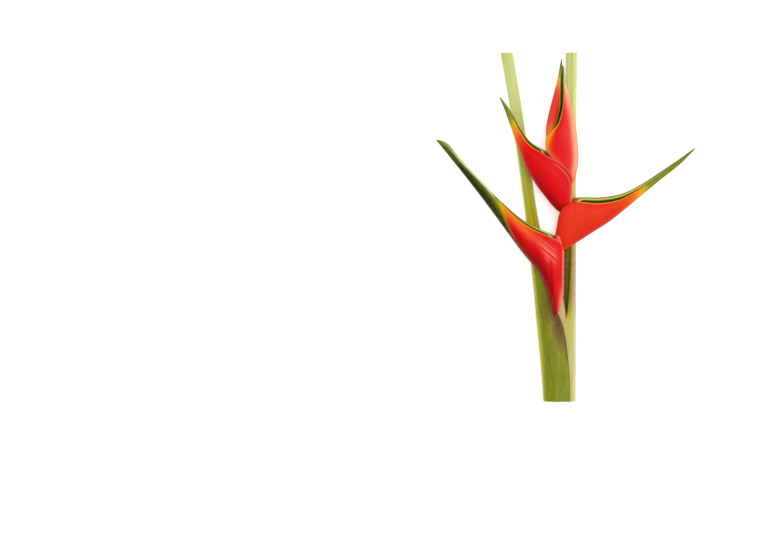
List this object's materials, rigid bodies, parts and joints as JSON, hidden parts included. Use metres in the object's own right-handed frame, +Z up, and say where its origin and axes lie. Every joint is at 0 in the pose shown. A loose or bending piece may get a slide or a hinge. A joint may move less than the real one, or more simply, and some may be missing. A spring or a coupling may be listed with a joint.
{
  "type": "heliconia stem",
  "caption": "Cut heliconia stem lying on its back: a flower stalk with boat-shaped red bracts to the left and right, between leaf sheaths and their cut petioles.",
  "frame": {"origin": "on the surface the stem lies on, under the middle of its length and width", "axes": "+X across the stem, +Y along it from the cut end of the false stem to the cut petioles, +Z up from the surface"},
  "size_m": [0.2588, 0.3496, 0.0401],
  "materials": {
    "stalk": "satin",
    "bract": "satin",
    "outer_leaf": "satin",
    "inner_leaf": "satin"
  },
  "bodies": {
    "root": {"flower_stalk": "stalk", "bract_1": "bract", "bract_2": "bract", "bract_3": "bract", "bract_4": "bract", "bract_5": "bract", "leaf_left": "outer_leaf", "leaf_right": "inner_leaf"}
  },
  "joints": []
}
